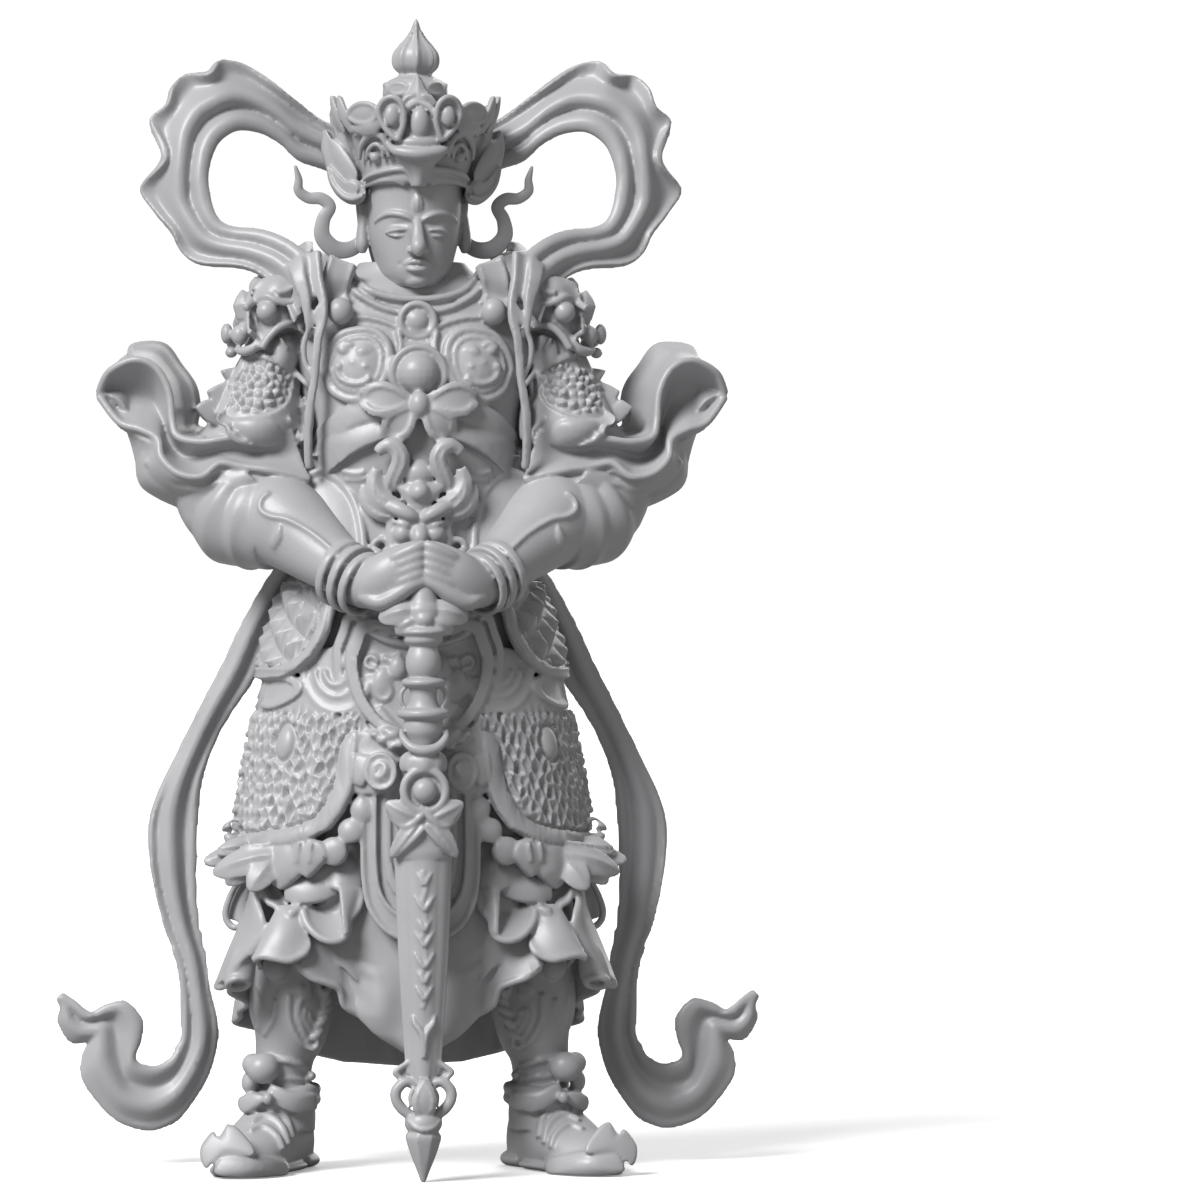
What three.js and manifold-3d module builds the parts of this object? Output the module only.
// A standing Buddhist guardian deity, cast in one with the sword it rests its hands on.
// Millimetres, +Z up, the figure faces -Y. Each side is the mirror of the other, so one side is
// set out (at -X, the viewer's left) and copied. The figure stands on the flat soles of two boots
// and on the blunt point of the sheathed sword.
import * as THREE from "three";
import { mergeVertices } from "three/addons/utils/BufferGeometryUtils.js";
import Module from "manifold-3d";

const HEIGHT = 1837; // floor to the tip of the crown's bud
const WAIST = 930; // top of the hip plates
const HEM = 530; // foot of the hip plates
const SOLE = 0; // the boots' soles and the sword's point
const SWORD_Y = -252; // the sword's axis, in front of the apron
const CENTRING = 19; // moves the figure back so that its box is centred on the origin
const CLOTH = 14; // thickness of carved scarves and skirts
const PLATE = 18; // thickness of carved armour plates
const LEAST_EDGE = 0.6; // shorter edges are closed up where carvings meet

const wasm = await Module();
wasm.setup();

const unit = (x) => Math.min(Math.max(x, 0), 1);
const vector = (a) => new THREE.Vector3(a[0], a[1], a[2]);

// Catmull-Rom through rows of numbers, at t from 0 to 1.
function through(rows, t) {
  const spans = rows.length - 1;
  const at = unit(t) * spans;
  const i = Math.min(Math.floor(at), spans - 1);
  const f = at - i;
  const row = (k) => rows[Math.min(Math.max(k, 0), spans)];
  return rows[i].map((_, c) => {
    const [a, b, d, e] = [row(i - 1)[c], row(i)[c], row(i + 1)[c], row(i + 2)[c]];
    return b + 0.5 * f * (d - a + f * (2 * a - 5 * b + 4 * d - e + f * (3 * (b - d) + e - a)));
  });
}

// A cloth through a net of points, smooth both ways.
const net = (rows) => (u, v) => through(rows.map((row) => through(row, v)), u);

// A closed solid over rings of points; each end is zipped shut, point k to its opposite one.
function skin(rings) {
  const count = rings[0].length;
  const position = rings.flat().flatMap((p) => [p.x, p.y, p.z]);
  const index = [];
  for (let i = 0; i + 1 < rings.length; i += 1) {
    for (let k = 0; k < count; k += 1) {
      const a = i * count + k;
      const b = i * count + ((k + 1) % count);
      index.push(a, b, b + count, a, b + count, a + count);
    }
  }
  const cap = (base, turned) => {
    for (let k = 0; k + 1 < count / 2; k += 1) {
      const [a, b, c, d] = [k, k + 1, count - 2 - k, count - 1 - k].map((x) => x + base);
      const faces = b === c ? [[a, b, d]] : [[a, b, c], [a, c, d]];
      faces.forEach(([p, q, r]) => index.push(...(turned ? [p, q, r] : [p, r, q])));
    }
  };
  cap(0, false);
  cap((rings.length - 1) * count, true);
  return new THREE.BufferGeometry()
    .setAttribute("position", new THREE.Float32BufferAttribute(position, 3))
    .setIndex(index);
}

// A limb: rows of [x, y, z, half width, half depth, tooth] along its middle line. A tooth moves
// every second point of its ring on along the limb, as on a scalloped cuff.
function limb(rows, { steps = rows.length - 1, sides = 8, up = [0, -1, 0] } = {}) {
  const rings = [];
  for (let i = 0; i <= steps; i += 1) {
    const t = i / steps;
    const row = through(rows, t);
    const run = vector(through(rows, t + 0.01)).sub(vector(through(rows, t - 0.01))).normalize();
    const wide = new THREE.Vector3().crossVectors(vector(up), run).normalize();
    const deep = new THREE.Vector3().crossVectors(run, wide);
    const ring = [];
    for (let k = 0; k < sides; k += 1) {
      const angle = ((k + 0.5) / sides) * 2 * Math.PI;
      ring.push(vector(row)
        .addScaledVector(wide, Math.cos(angle) * row[3])
        .addScaledVector(deep, Math.sin(angle) * row[4])
        .addScaledVector(run, k % 2 ? row[5] || 0 : 0));
    }
    rings.push(ring);
  }
  return skin(rings);
}

// A level core: rows of [y, z, half width, half depth, tooth], each ring lying flat. square is 1
// for an oval and less for a boxier section. A tooth lifts every second point of its ring.
function core(rows, { sides = 12, square = 1 } = {}) {
  const boxy = (x) => Math.sign(x) * Math.abs(x) ** square;
  return skin(rows.map(([y, z, wide, deep, tooth = 0]) => Array.from({ length: sides }, (_, k) => {
    const angle = ((k + 0.5) / sides) * 2 * Math.PI;
    const [across, out] = [boxy(Math.cos(angle)) * wide, boxy(Math.sin(angle)) * deep];
    return new THREE.Vector3(across, y + out, z + (k % 2) * tooth);
  })));
}

// A sheet of even thickness over surface(u, v): rings follow u, and each ring runs along v.
function sheet(surface, { along = 6, across = 4, thick = PLATE } = {}) {
  const rings = [];
  for (let i = 0; i <= along; i += 1) {
    const u = i / along;
    const point = (k, lift) => {
      const v = k / across;
      const du = vector(surface(u + 0.01, v)).sub(vector(surface(u - 0.01, v)));
      const dv = vector(surface(u, v + 0.01)).sub(vector(surface(u, v - 0.01)));
      return vector(surface(u, v)).addScaledVector(du.cross(dv).normalize(), lift);
    };
    const ring = [];
    for (let k = 0; k <= across; k += 1) ring.push(point(k, thick / 2));
    for (let k = across; k >= 0; k -= 1) ring.push(point(k, -thick / 2));
    rings.push(ring);
  }
  return skin(rings);
}

// A scarf: rows of [x, y, z, half width, direction from one edge to the other]. pleat(s, t)
// lifts it off its middle surface, with s from -1 to 1 across the scarf.
function band(rows, { steps = rows.length - 1, across = 1, thick = CLOTH, pleat = () => 0 } = {}) {
  const surface = (t, v) => {
    const row = through(rows, t);
    const run = vector(through(rows, t + 0.01)).sub(vector(through(rows, t - 0.01))).normalize();
    const normal = new THREE.Vector3().crossVectors(run, vector(row.slice(4))).normalize();
    const side = new THREE.Vector3().crossVectors(normal, run);
    const s = 2 * v - 1;
    return vector(row).addScaledVector(side, row[3] * s).addScaledVector(normal, pleat(s, t)).toArray();
  };
  return sheet(surface, { along: steps, across, thick });
}

// A petal, leaf or lobe from its root towards its tip. out is the side that it bulges to.
function leaf({ root, tip, out, width, bulge = 6, full = 0.55, thick = 12, along = 3, across = 1 }) {
  const start = vector(root);
  const run = vector(tip).sub(start);
  const side = new THREE.Vector3().crossVectors(run, vector(out)).normalize();
  const face = new THREE.Vector3().crossVectors(side, run).normalize();
  const widest = Math.log(0.5) / Math.log(full);
  const surface = (u, v) => {
    const t = 0.06 + 0.91 * u;
    const half = (width / 2) * Math.sin(Math.PI * unit(t) ** widest) ** 0.5;
    return start.clone()
      .addScaledVector(run, t)
      .addScaledVector(side, half * (2 * v - 1))
      .addScaledVector(face, bulge * Math.sin(Math.PI * t))
      .toArray();
  };
  return sheet(surface, { along, across, thick });
}

// An egg-shaped boss, set by its middle and its half sizes.
function ball([x, y, z], [wide, deep, high], sides = 6) {
  return new THREE.SphereGeometry(1, sides, sides > 6 ? 5 : 4)
    .rotateX(Math.PI / 2)
    .scale(wide, deep, high)
    .translate(x, y, z);
}

const both = (geometries) => geometries.flatMap((g) => [g, g.clone().scale(-1, 1, 1)]);

// Head with large lobed ears, and locks of hair that curl up beside the face.
function head() {
  const face = core([
    [0, 1370, 66, 66], [-8, 1404, 60, 60], [-40, 1410, 50, 62], [-44, 1434, 58, 72],
    [-36, 1480, 72, 88], [-34, 1520, 80, 95], [-36, 1590, 80, 96],
  ], { sides: 12 });
  const nose = limb([[0, -118, 1540, 6, 8], [0, -130, 1500, 9, 10], [0, -128, 1474, 16, 14]], { sides: 4 });
  const ear = leaf({
    root: [-78, -30, 1560], tip: [-76, -24, 1462], out: [-1, -0.4, 0], width: 40, thick: 16, full: 0.4,
  });
  const curl = band([
    [-78, -12, 1496, 12, 0.3, 0, -1], [-104, -20, 1472, 14, 0.2, 0, -1],
    [-136, -28, 1480, 13, -0.7, 0, -0.7], [-146, -30, 1507, 11, -1, 0, 0.1],
    [-134, -32, 1532, 11, -0.8, 0, 0.5], [-147, -32, 1552, 10, -0.4, 0, -0.9],
    [-170, -32, 1554, 8, -0.4, 0, -0.9], [-181, -34, 1567, 6, -1, 0, 0],
    [-187, -38, 1603, 1.5, -0.8, 0, -0.3],
  ], { steps: 8, thick: 11 });
  return [face, nose, ...both([ear, curl])];
}

// Tall crown of leaves round a domed cup, with a drum and a bud on top, all in one stack.
function crown() {
  const stack = core([
    [-38, 1580, 84, 102], [-42, 1598, 94, 112], [-46, 1618, 98, 114], [-50, 1650, 112, 118],
    [-52, 1690, 116, 116, 18], [-54, 1664, 90, 96], [-60, 1706, 62, 66], [-68, 1712, 40, 42],
    [-72, 1722, 50, 50], [-75, 1738, 34, 34], [-76, 1744, 24, 24], [-77, 1758, 38, 36],
    [-80, 1774, 37, 34], [-84, 1796, 22, 20], [-90, 1818, 9, 8], [-94, HEIGHT, 2, 2],
  ], { sides: 10 });
  const crest = leaf({ root: [0, -158, 1646], tip: [0, -140, 1720], out: [0, -1, 0.2], width: 44 });
  const bell = ball([0, -152, 1656], [25, 20, 34]);
  const sides = [
    { root: [-34, -148, 1606], tip: [-46, -144, 1698], out: [-0.4, -1, 0], width: 58, full: 0.6 },
    { root: [-98, -66, 1636], tip: [-121, -60, 1716], out: [-1, -0.6, 0], width: 28 },
    { root: [-78, -36, 1544], tip: [-136, -30, 1682], out: [-1, -0.5, -0.2], width: 84, bulge: 12 },
  ].map((shape) => leaf({ thick: 16, ...shape }));
  return [stack, crest, bell, ...both(sides)];
}

// The heavenly scarf: a loop beside the head, down over the chest, and a long tail by the legs.
function scarf() {
  const loop = band([
    [12, 66, 1596, 36, 0, 0.2, -1], [-90, 54, 1636, 40, 0, 0.2, -1], [-178, 40, 1667, 49, -0.06, 0.3, -1],
    [-235, 28, 1708, 53, 0, 0.4, -1], [-288, 18, 1716, 55, 0.2, 0.45, -0.98],
    [-334, 8, 1692, 57, 0.42, 0.5, -0.9], [-360, 2, 1648, 57, 0.7, 0.5, -0.7],
    [-372, 0, 1603, 56, 0.87, 0.5, -0.5], [-370, 0, 1562, 53, 0.98, 0.5, -0.2],
    [-350, -2, 1526, 47, 1, 0.4, 0], [-321, -6, 1496, 42, 0.9, 0.3, 0.3],
    [-281, -14, 1478, 39, 0.6, 0.1, 0.7], [-232, -32, 1464, 37, 0.45, -0.2, 0.8],
    [-186, -72, 1442, 30, 0.6, -0.3, 0.6], [-164, -108, 1400, 20, 0.95, -0.3, 0.2],
    [-158, -118, 1320, 17, 1, -0.4, 0], [-160, -112, 1170, 14, 1, -0.4, 0],
  ], { steps: 16, across: 2, pleat: (s, t) => 16 * Math.cos(3.4 * s) * (t < 0.75 ? 1 : 0.2) });
  const tail = band([
    [-150, 60, 990, 18, 0.6, 0.6, 0.3], [-194, 66, 907, 22, 0.7, 0.6, -0.3],
    [-237, 76, 832, 28, 0.8, 0.5, -0.4], [-280, 85, 768, 32, 0.8, 0.4, -0.4],
    [-325, 90, 688, 32, 0.9, 0.2, -0.3], [-351, 92, 629, 30, 1, 0.1, -0.1],
    [-370, 92, 525, 36, 1, 0.1, 0], [-365, 90, 432, 35, 1, 0.1, 0], [-344, 88, 352, 29, 1, 0.1, 0],
    [-332, 85, 272, 27, 1, 0.1, 0], [-328, 80, 208, 31, 1, 0.1, -0.2],
    [-343, 75, 148, 38, 0.75, 0.1, -0.6], [-391, 70, 117, 50, 0.15, 0.1, -1],
    [-447, 66, 138, 54, -0.6, 0.1, -0.8], [-470, 66, 188, 42, -0.95, 0.1, -0.3],
    [-490, 70, 227, 28, -0.7, 0.1, -0.7], [-516, 74, 253, 20, -0.5, 0.1, -0.85],
    [-560, 78, 270, 3, -0.4, 0.1, -0.9],
  ], { steps: 16, across: 2, pleat: (s, t) => 11 * Math.cos(3.6 * s) * Math.sin(3 * t + 0.4) });
  const back = band([
    [-186, -50, 1452, 26, 0.4, 0.6, 0.4], [-172, 50, 1444, 26, 0.6, 0.5, 0.2],
    [-168, 108, 1350, 24, 0.9, 0.2, 0.1], [-174, 132, 1180, 22, 1, 0, 0], [-150, 80, 985, 20, 0.8, 0.5, 0],
  ], { steps: 5, thick: 20 });
  return both([loop, tail, back]);
}

// Trunk with a gorget, a jewel on the breast, breastplate roundels and the waist plates.
function torso() {
  const trunk = core([
    [-2, 900, 160, 128], [-6, 1040, 154, 128], [-8, 1130, 168, 132], [-6, 1240, 184, 134],
    [0, 1330, 204, 122], [0, 1384, 204, 104], [-6, 1390, 140, 104], [-6, 1404, 134, 98],
    [0, 1428, 104, 76], [0, 1446, 84, 66],
  ], { square: 0.75 });
  const middle = [
    ball([0, -146, 1268], [35, 22, 35]),
    ball([0, -126, 1358], [25, 24, 25]),
    ball([0, -154, 1228], [19, 18, 20]),
  ];
  const side = [
    ball([-84, -112, 1278], [58, 38, 60]),
    leaf({ root: [-6, -148, 1232], tip: [-88, -142, 1230], out: [0, -1, 0], width: 48, full: 0.6 }),
    limb([[-118, -112, 1352, 20, 14], [-112, -92, 1414, 26, 14], [-104, -40, 1440, 30, 14]], { sides: 4 }),
    leaf({
      root: [-160, -112, 1132], tip: [-76, -158, 976], out: [-0.2, -1, 0], width: 100, full: 0.45, thick: 24,
    }),
    band([
      [-166, -100, 1162, 26, 0, -0.2, 1], [-96, -134, 1190, 26, 0, -0.1, 1], [0, -144, 1198, 26, 0, 0, 1],
    ]),
  ];
  return [trunk, ...middle, ...both(side)];
}

// The beast's head on the belt: skull, forehead, muzzle, horns and curled ears.
function beltBeast() {
  const side = [
    ball([-24, -160, 1014], [26, 24, 24]),
    band([[-20, -156, 1074, 13, 1, 0, 0.4], [-27, -160, 1104, 14, 1, 0, 0], [-14, -156, 1136, 12, 1, 0, 0.4],
      [-30, -150, 1162, 6, 0.6, 0, 0.8]], { thick: 18 }),
    leaf({ root: [-36, -154, 1044], tip: [-76, -148, 1122], out: [-0.4, -1, 0], width: 42, thick: 16 }),
  ];
  return [ball([0, -136, 1036], [54, 42, 64], 8), ball([0, -172, 1072], [30, 18, 22]), ...both(side)];
}

// The arm as one run from the shoulder guard down the bell sleeve with its scalloped mouth, the
// folded cloth at the elbow, the forearm with cuffs and bracelets, to the hand on the pommel.
function arm() {
  const run = limb([
    [-150, -4, 1410, 60, 44], [-190, -6, 1420, 76, 36], [-238, -8, 1412, 86, 48], [-268, -8, 1370, 88, 58],
    [-252, -10, 1320, 84, 58], [-256, -10, 1262, 92, 72], [-266, -10, 1200, 98, 90],
    [-268, -10, 1162, 100, 92, 24], [-262, -10, 1176, 72, 68], [-280, 4, 1120, 76, 76],
    [-284, -14, 1076, 80, 78], [-240, -58, 1044, 80, 74], [-228, -70, 1038, 66, 60],
    [-180, -120, 1000, 62, 57],
    [-132, -172, 954, 50, 50], [-126, -180, 948, 57, 57], [-96, -207, 922, 54, 54], [-88, -214, 920, 40, 36],
    [-66, -226, 926, 44, 34], [-34, -240, 944, 36, 30], [6, -246, 960, 20, 22],
  ]);
  const knob = ball([-266, -52, 1388], [24, 20, 20]);
  // The sleeve's spined outer edge, three points long.
  const spines = sheet((u, v) => {
    const tooth = 20 * Math.abs(Math.sin(3 * Math.PI * u));
    return [-258 - 54 * u - v * (14 + tooth), -31, 1302 - 76 * u + v * tooth];
  }, { along: 6, across: 1, thick: 14 });
  const flutter = sheet(net([
    [
      [-258, 60, 1188], [-247, 2, 1181], [-246, 26, 1152], [-236, -40, 1128], [-262, 0, 1096],
      [-216, -60, 1094],
    ],
    [
      [-330, 70, 1222], [-366, -48, 1176], [-350, 22, 1144], [-340, -62, 1102], [-362, 6, 1072],
      [-290, -94, 1078],
    ],
    [
      [-352, 62, 1280], [-378, -40, 1242], [-400, 32, 1200], [-396, -52, 1164], [-424, 10, 1120],
      [-352, -60, 1074],
    ],
    [
      [-396, 42, 1322], [-436, -10, 1304], [-484, 12, 1282], [-492, -20, 1244], [-470, 0, 1204],
      [-410, -16, 1120],
    ],
  ]), { along: 3, across: 7, thick: CLOTH });
  return both([run, knob, spines, flutter]);
}

// The hips and skirts as one body of rings: two tiers of hip plates with scalloped edges, a row
// of petals, and the fluted cloth below, which is hollow underneath and longer behind.
function skirts() {
  const sides = 34;
  const widen = (z) => unit((WAIST - z) / (WAIST - HEM));
  // A point on the hips, lift outside them. Angle 0 is the front.
  const hip = (angle, z, lift) => new THREE.Vector3(
    -(176 + 92 * widen(z) ** 0.7 + lift) * Math.sin(angle),
    -(138 + 62 * widen(z) ** 0.8 + lift) * Math.cos(angle),
    z,
  );
  const plateFoot = (front) => 540 + 88 * Math.max(0, 1 - 1.7 * (front - 0.44)) ** 1.6;
  const hem = (front) => 312 - 156 * unit((front - 1.5) / 0.9) ** 0.7;
  // Each ring is (front, tooth) => [z, lift]: front is the angle from the front, tooth is 0 or 1.
  const rings = [
    () => [962, -26],
    () => [WAIST + 8, -6],
    () => [WAIST + 2, 16],
    () => [772, 24],
    () => [775, 8],
    (front, tooth) => [748 - 34 * tooth, 20],
    () => [740, 8],
    (front) => [plateFoot(front), 26],
    (front) => [plateFoot(front) + 4, 6],
    (front, tooth) => [plateFoot(front) - 34 - 32 * tooth, 16 + 40 * unit(front - 0.3)],
    (front, tooth) => [plateFoot(front) - 30 - 30 * tooth, 2],
    (front) => [0.5 * (plateFoot(front) + hem(front)) - 20, -4],
    (front, tooth) => [hem(front) + 10 * tooth, 14 * tooth + 20 * Math.sin(Math.min(front, 1.6))],
    (front, tooth) => [hem(front) + 16 + 10 * tooth, 14 * tooth - 16 + 20 * Math.sin(Math.min(front, 1.6))],
    () => [452, -60],
  ];
  return [skin(rings.map((ring) => Array.from({ length: sides }, (_, k) => {
    const turn = ((k + 0.5) / sides) * 2 * Math.PI;
    const angle = turn - 0.3 * Math.sin(turn);
    return hip(angle, ...ring(Math.min(angle, 2 * Math.PI - angle), Math.min(k, sides - 1 - k) % 2));
  })))];
}

// Shield-shaped belly plate, long apron and the pleated cloth that ends in a point.
function aprons() {
  const shield = sheet((u, v) => {
    const s = 2 * u - 1;
    const half = 116 * Math.sqrt(Math.max(0.02, 1 - unit(v) ** 3.2));
    return [s * half, -176 - 26 * v + 34 * s * s, 900 - 206 * v];
  }, { along: 4, across: 3, thick: 24 });
  const long = sheet((u, v) => {
    const s = 2 * u - 1;
    const half = 86 * Math.max(0.05, 1 - unit(v) ** 7) ** 0.5;
    return [s * half, -186 - 22 * v + 22 * s * s, 690 - 316 * v];
  }, { along: 4, across: 3, thick: 22 });
  const under = sheet((u, v) => {
    const s = 2 * u - 1;
    const half = 122 * Math.max(0.03, 1 - unit(v) ** 2.4) ** 0.75;
    return [s * half, -166 + 30 * s * s + 9 * Math.cos(9 * s) * v, 560 - 390 * v];
  }, { along: 6, across: 3, thick: 16 });
  const cloud = band([
    [-34, -202, 700, 16, 0, 0, 1], [-64, -202, 704, 22, -0.3, 0, 1], [-88, -196, 680, 26, -1, 0, 0],
    [-52, -198, 652, 16, 0.4, 0, -0.9],
  ], { steps: 4, thick: 20 });
  return [shield, long, under, ...both([cloud])];
}

// Turned-back flaps of the underskirt over each leg.
function flaps() {
  const flap = sheet(net([
    [[-92, -168, 430], [-150, -190, 420], [-210, -176, 410], [-268, -110, 420]],
    [[-84, -168, 400], [-108, -206, 372], [-176, -176, 350], [-254, -158, 366]],
    [[-90, -160, 330], [-124, -190, 322], [-172, -196, 344], [-260, -156, 318]],
  ]), { along: 2, across: 5, thick: 20 });
  return both([flap]);
}

// Booted leg: greave, knee and ankle bosses, ankle strap, and a boot with an upswept toe.
function leg() {
  const shin = limb([
    [-160, 10, 480, 90, 94], [-193, -2, 290, 70, 74], [-194, 4, 180, 54, 60],
    [-196, 2, 130, 50, 56], [-196, 2, 112, 64, 68], [-196, 2, 92, 60, 66], [-196, 0, 50, 52, 60],
  ], { sides: 8 });
  const knee = ball([-216, -72, 326], [24, 18, 26]);
  const boss = ball([-236, -54, 162], [28, 24, 27]);
  const heel = new THREE.Vector2(-168, 66);
  const toe = new THREE.Vector2(-286, -128);
  const run = toe.clone().sub(heel);
  const side = new THREE.Vector2(run.y, -run.x).normalize();
  // Stations along the shoe: [way from heel to toe, half width, height].
  const stations = [[0, 50, 88], [0.2, 62, 100], [0.5, 60, 92], [0.9, 62, 58], [1.08, 34, 40]];
  const section = [[-1, 0], [-1, 0.3], [-0.55, 0.9], [0.55, 0.9], [1, 0.3], [1, 0]];
  const shoe = skin(stations.map(([t, half, high]) => {
    const at = heel.clone().addScaledVector(run, t);
    return section.map(([s, h]) => {
      return new THREE.Vector3(at.x + side.x * half * s, at.y + side.y * half * s, SOLE + high * h);
    });
  }));
  const guards = [
    leaf({ root: [-270, -146, 30], tip: [-282, -164, 100], out: [-0.5, -1, 0], width: 76, thick: 22 }),
    leaf({ root: [-286, -132, 28], tip: [-338, -140, 46], out: [-0.5, -1, 0.4], width: 62, thick: 20 }),
  ];
  return both([shin, knee, boss, shoe, ...guards]);
}

// Sheathed sword, point down, in one stack: point, chape, scabbard, guard, ringed grip, pommel.
function sword() {
  const blade = core([
    [3, 3], [29, 62], [29, 72], [19, 80], [26, 92], [20, 108], [26, 320], [40, 560], [26, 584],
    [36, 604], [36, 634], [28, 648], [42, 668], [24, 694], [24, 714], [39, 722], [39, 734], [20, 746],
    [20, 764], [36, 770], [36, 782], [20, 792], [32, 820], [14, 842], [35, 866], [20, 910], [18, 950],
  ].map(([wide, z]) => {
    const flat = z > 110 && z < 590 ? 0.55 : 0.95;
    return [SWORD_Y, z === 3 ? SOLE : z, wide, wide * flat];
  }), { sides: 6 });
  const side = [
    leaf({ root: [0, -266, 556], tip: [-60, -258, 600], out: [0, -1, 0], width: 42, thick: 20 }),
    leaf({ root: [0, -250, 886], tip: [-76, -246, 882], out: [0, -1, 0], width: 44, thick: 22 }),
    band([
      [-11, -250, 181, 5, 0.6, 0, 0.8], [-33, -253, 160, 6, 0.8, 0, 0.4],
      [-43, -254, 129, 8, 1, 0.1, 0], [-17, -255, 98, 7, 0.3, 0.1, -1],
    ], { steps: 4, thick: 15 }),
  ];
  return [blade, ...both(side)];
}

// The manifold solid of a closed geometry, turned to face outwards.
function solid(geometry) {
  const bare = new THREE.BufferGeometry().setAttribute("position", geometry.attributes.position.clone());
  if (geometry.index) bare.setIndex(geometry.index.clone());
  const merged = mergeVertices(bare, 1e-3);
  const faces = [];
  for (let i = 0; i < merged.index.count; i += 3) {
    const [a, b, c] = [0, 1, 2].map((k) => merged.index.getX(i + k));
    if (a !== b && b !== c && c !== a) faces.push([a, b, c]);
  }
  const made = (triangles) => new wasm.Manifold(new wasm.Mesh({
    numProp: 3,
    vertProperties: merged.attributes.position.array,
    triVerts: new Uint32Array(triangles.flat()),
  }));
  const first = made(faces);
  return first.volume() > 0 ? first : made(faces.map(([a, b, c]) => [a, c, b]));
}

// Closes up the edges shorter than the least one, and turns the long edge of each sliver thinner
// than a tenth of that, so that the skin of the casting has only sound triangles.
function smoothed(points, triangles, least) {
  const apart = (a, b) => points[a].distanceTo(points[b]);
  const normal = ([a, b, c], place = (k) => points[k]) => {
    const along = place(b).clone().sub(place(a));
    return along.cross(place(c).clone().sub(place(a)));
  };
  const around = points.map(() => new Set());
  triangles.forEach((t) => t.forEach((k) => around[k].add(t)));
  const neighbours = (k) => new Set([...around[k]].flat().filter((other) => other !== k));
  const shared = (a, b) => [...around[a]].filter((t) => around[b].has(t));
  const drop = (t) => t.forEach((k) => around[k].delete(t));
  const add = (t) => t.forEach((k) => around[k].add(t));

  function close(kept, gone) {
    const common = [...neighbours(kept)].filter((k) => neighbours(gone).has(k));
    if (common.length !== 2) return false;
    const moved = [...around[gone]].filter((t) => !around[kept].has(t));
    const place = (k) => points[k === gone ? kept : k];
    const turnsOver = (t) => normal(t).normalize().dot(normal(t, place).normalize()) < 0.2;
    if (moved.some((t) => normal(t).length() > least * least && turnsOver(t))) return false;
    shared(kept, gone).forEach(drop);
    moved.forEach((t) => {
      drop(t);
      add(t.map((k) => (k === gone ? kept : k)));
    });
    return true;
  }

  function turn(t) {
    const start = [0, 1, 2].reduce((best, i) => {
      return apart(t[i], t[(i + 1) % 3]) > apart(t[best], t[(best + 1) % 3]) ? i : best;
    }, 0);
    const [a, b, c] = [t[start], t[(start + 1) % 3], t[(start + 2) % 3]];
    if (normal(t).length() > 0.1 * least * apart(a, b)) return false;
    const other = shared(a, b).find((next) => next !== t);
    const d = other.find((k) => k !== a && k !== b);
    if (neighbours(c).has(d)) return false;
    [t, other].forEach(drop);
    [[a, d, c], [d, b, c]].forEach(add);
    return true;
  }

  for (let pass = 0; pass < 4; pass += 1) {
    points.forEach((_, a) => {
      const near = [...neighbours(a)].find((b) => apart(a, b) < least);
      if (near !== undefined) close(a, near) || close(near, a);
    });
    new Set(around.flatMap((set) => [...set])).forEach((t) => around[t[0]].has(t) && turn(t));
  }
  return [...new Set(around.flatMap((set) => [...set]))];
}

// One casting of all the carvings: its outer skin alone, without the gaps sealed inside it.
function cast(geometries) {
  const whole = geometries.map(solid).reduce((sum, next) => sum.add(next));
  const outer = whole.decompose().reduce((most, next) => (next.volume() > most.volume() ? next : most));
  const { vertProperties, triVerts } = outer.getMesh();
  const points = Array.from({ length: vertProperties.length / 3 }, (_, k) => {
    return new THREE.Vector3().fromArray(vertProperties, 3 * k);
  });
  const triangles = Array.from({ length: triVerts.length / 3 }, (_, k) => {
    return [...triVerts.slice(3 * k, 3 * k + 3)];
  });
  return new THREE.BufferGeometry()
    .setFromPoints(points)
    .setIndex(smoothed(points, triangles, LEAST_EDGE).flat());
}

const carvings = [
  ...torso(), ...head(), ...crown(), ...scarf(), ...beltBeast(), ...arm(), ...skirts(), ...aprons(),
  ...flaps(), ...leg(), ...sword(),
];
const statue = new THREE.Mesh(
  cast(carvings),
  new THREE.MeshStandardMaterial({ color: 0xb4b4b7, roughness: 0.45, metalness: 0 }),
);
statue.name = "guardian_statue";
statue.position.y = CENTRING;

const group = new THREE.Group();
group.add(statue);
export default group;
